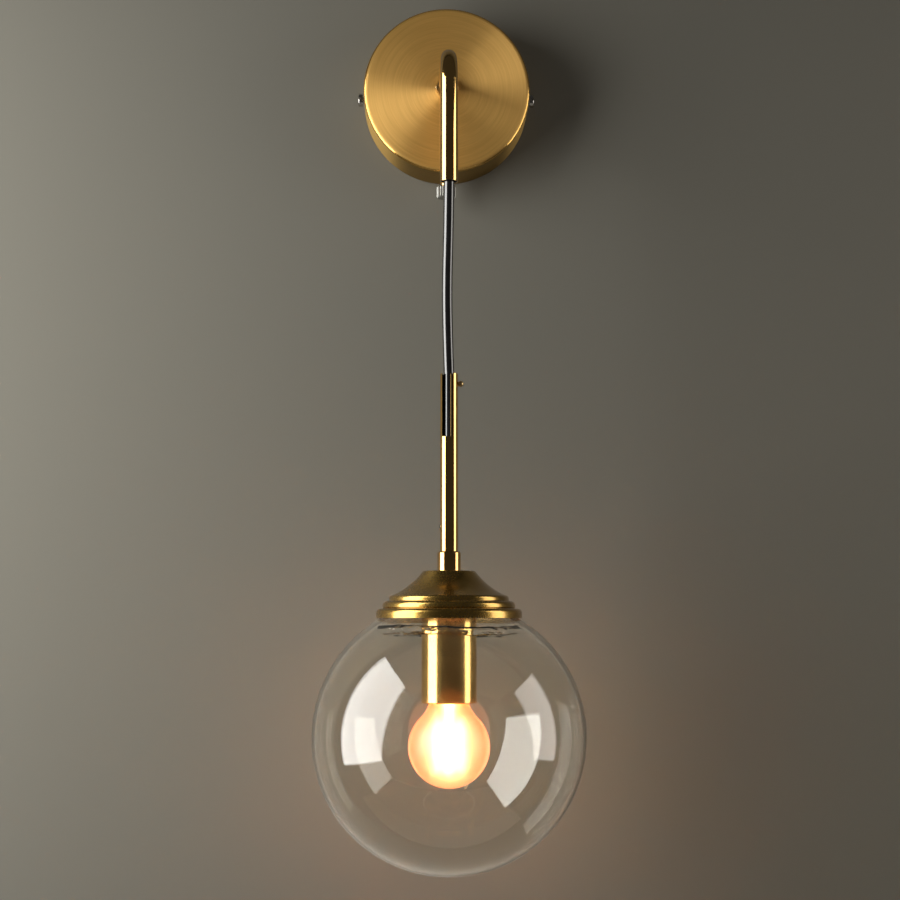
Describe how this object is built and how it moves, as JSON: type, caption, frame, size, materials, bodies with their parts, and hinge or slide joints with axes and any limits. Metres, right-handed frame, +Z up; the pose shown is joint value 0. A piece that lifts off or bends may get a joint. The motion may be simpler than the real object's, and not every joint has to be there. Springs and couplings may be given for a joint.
{
  "type": "wall sconce",
  "caption": "Wall sconce with a round brass canopy and a bent arm, from which a cord hangs a slotted stem, a stepped cap and a clear glass globe around a small globe lamp.",
  "frame": {"origin": "centre of the canopy's back, on the wall", "axes": "+Z up, +Y into the wall, +X to the right of a viewer who faces the wall"},
  "size_m": [0.15, 0.18, 0.5064],
  "materials": {
    "brushed_brass": "circular brushed brass",
    "polished_brass": "polished brass",
    "plain_brass": "machined brass",
    "bright_nickel": "bright nickel plate",
    "zinc_steel": "zinc-plated steel",
    "black_cord": "glossy black cord sheath",
    "black_plastic": "black moulded plastic",
    "white_nylon": "natural nylon",
    "brown_lead": "brown insulation",
    "blue_lead": "blue insulation",
    "green_lead": "green insulation",
    "holder_lead": "heat-proof white insulation",
    "silicone": "clear silicone",
    "ceramic": "glazed white ceramic",
    "clear_glass": "clear blown glass",
    "lamp_glass": "clear lamp glass",
    "lamp_black": "black glass insulator",
    "filament_wire": "thin support wire",
    "filament_glow": "glowing filament coating"
  },
  "bodies": {
    "wall_side": {"canopy": "brushed_brass", "wall_bracket": "zinc_steel", "canopy_screws": "bright_nickel", "arm_tube": "polished_brass", "arm_nut": "polished_brass", "arm_lock_washer": "zinc_steel", "arm_back_nut": "plain_brass", "arm_outlet_bush": "black_plastic", "cord_in_arm": "black_cord", "terminal_block": "white_nylon", "terminal_inserts": "plain_brass", "terminal_screws": "zinc_steel", "terminal_fixing_screw": "zinc_steel", "earth_screw": "zinc_steel", "neutral_lead": "blue_lead", "live_lead": "brown_lead", "switched_lead": "brown_lead", "earth_lead": "green_lead", "switch_body": "black_plastic", "switch_nut": "polished_brass"},
    "switch_knob": {"switch_knob": "bright_nickel"},
    "cord_bend": {"cord_bend": "black_cord"},
    "pendant": {"cord_hang": "black_cord", "cord_in_stem": "black_cord", "stem_tube": "polished_brass", "stem_grub_screw": "bright_nickel", "stem_collar": "polished_brass", "cap": "polished_brass", "cap_nipple": "plain_brass", "cap_washer": "zinc_steel", "cap_nut": "plain_brass", "globe_gasket": "silicone", "socket_cup": "polished_brass", "lampholder_body": "ceramic", "holder_earth_tag": "plain_brass", "holder_nut": "plain_brass", "lampholder_shell": "plain_brass", "lampholder_contact": "plain_brass", "holder_terminals": "plain_brass", "holder_leads": "holder_lead"},
    "clamp_screw": {"clamp_screw": "polished_brass"},
    "globe": {"glass_globe": "clear_glass"},
    "bulb": {"bulb_glass": "lamp_glass", "bulb_cap": "bright_nickel", "bulb_insulator": "lamp_black", "bulb_contact": "bright_nickel", "bulb_mount": "lamp_glass", "filament_wires": "filament_wire", "filaments": "filament_glow"}
  },
  "joints": [
    {"name": "pendant_swing_side", "type": "hinge", "parent": "wall_side", "child": "cord_bend", "pos_m": [0, -0.105, -0.0742], "axis": [0, 1, 0], "range_deg": [-25, 25]},
    {"name": "pendant_swing_fore", "type": "hinge", "parent": "cord_bend", "child": "pendant", "pos_m": [0, -0.105, -0.0742], "axis": [1, 0, 0], "range_deg": [-25, 5.5]},
    {"name": "clamp_screw_turn", "type": "hinge", "parent": "pendant", "child": "clamp_screw", "pos_m": [0.0062, -0.105, -0.1876], "axis": [1, 0, 0], "range_deg": [0, 360]},
    {"name": "globe_twist", "type": "hinge", "parent": "pendant", "child": "globe", "pos_m": [0, -0.105, -0.3814], "axis": [0, 0, -1], "range_deg": [0, 60]},
    {"name": "bulb_unscrew", "type": "hinge", "parent": "pendant", "child": "bulb", "pos_m": [0, -0.105, -0.3864], "axis": [0, 0, -1], "range_deg": [0, 720]},
    {"name": "switch_knob_turn", "type": "hinge", "parent": "wall_side", "child": "switch_knob", "pos_m": [0, -0.014, -0.0584], "axis": [0, 0, -1], "range_deg": [0, 90]}
  ]
}
